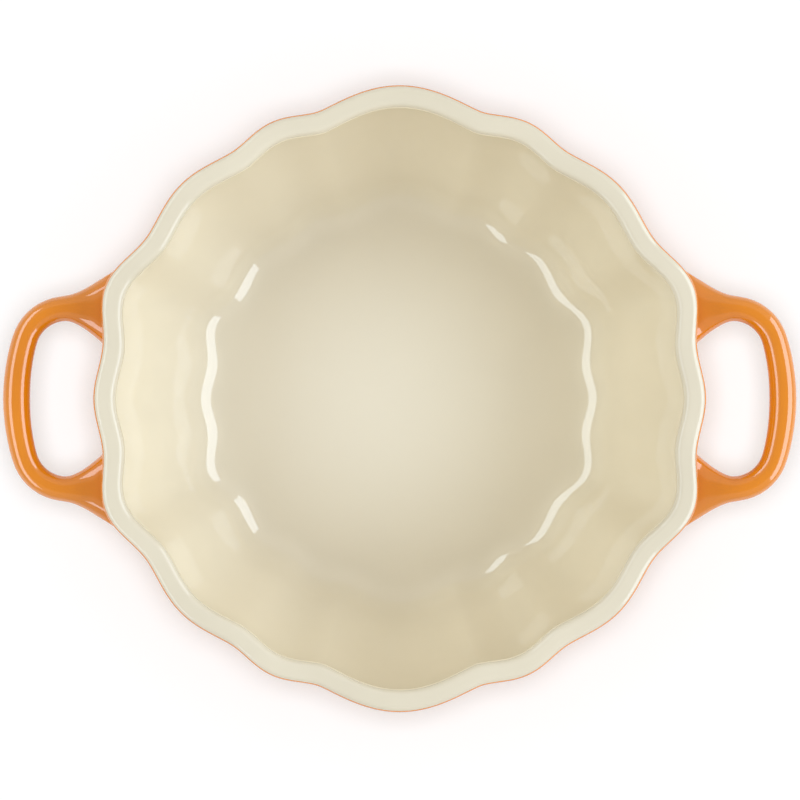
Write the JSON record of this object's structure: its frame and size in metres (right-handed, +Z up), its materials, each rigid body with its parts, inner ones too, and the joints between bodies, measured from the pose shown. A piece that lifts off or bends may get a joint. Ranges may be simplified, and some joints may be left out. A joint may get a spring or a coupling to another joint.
{
  "type": "pumpkin cocotte",
  "caption": "Open casserole pot shaped like a pumpkin, in enamelled cast iron: a ribbed round bowl with a rim bead and a foot ring, and a rigid loop handle cast onto each side.",
  "frame": {"origin": "under the middle of the pot, on the surface that its foot ring stands on", "axes": "+X from the left handle to the right handle, +Y towards the pot's back, +Z up through the open mouth"},
  "size_m": [0.3308, 0.2612, 0.104],
  "materials": {
    "cast_iron": "grey cast iron under the enamel",
    "sand_enamel": "glossy sand-coloured glass enamel",
    "rim_enamel": "glossy cream glass enamel",
    "orange_enamel": "glossy orange glass enamel",
    "underside_enamel": "satin dark orange glass enamel"
  },
  "bodies": {
    "root": {"pot_casting": "cast_iron", "left_handle_casting": "cast_iron", "right_handle_casting": "cast_iron", "inner_enamel": "sand_enamel", "rim_enamel": "rim_enamel", "outer_enamel": "orange_enamel", "left_handle_enamel": "orange_enamel", "right_handle_enamel": "orange_enamel", "base_enamel": "underside_enamel"}
  },
  "joints": []
}
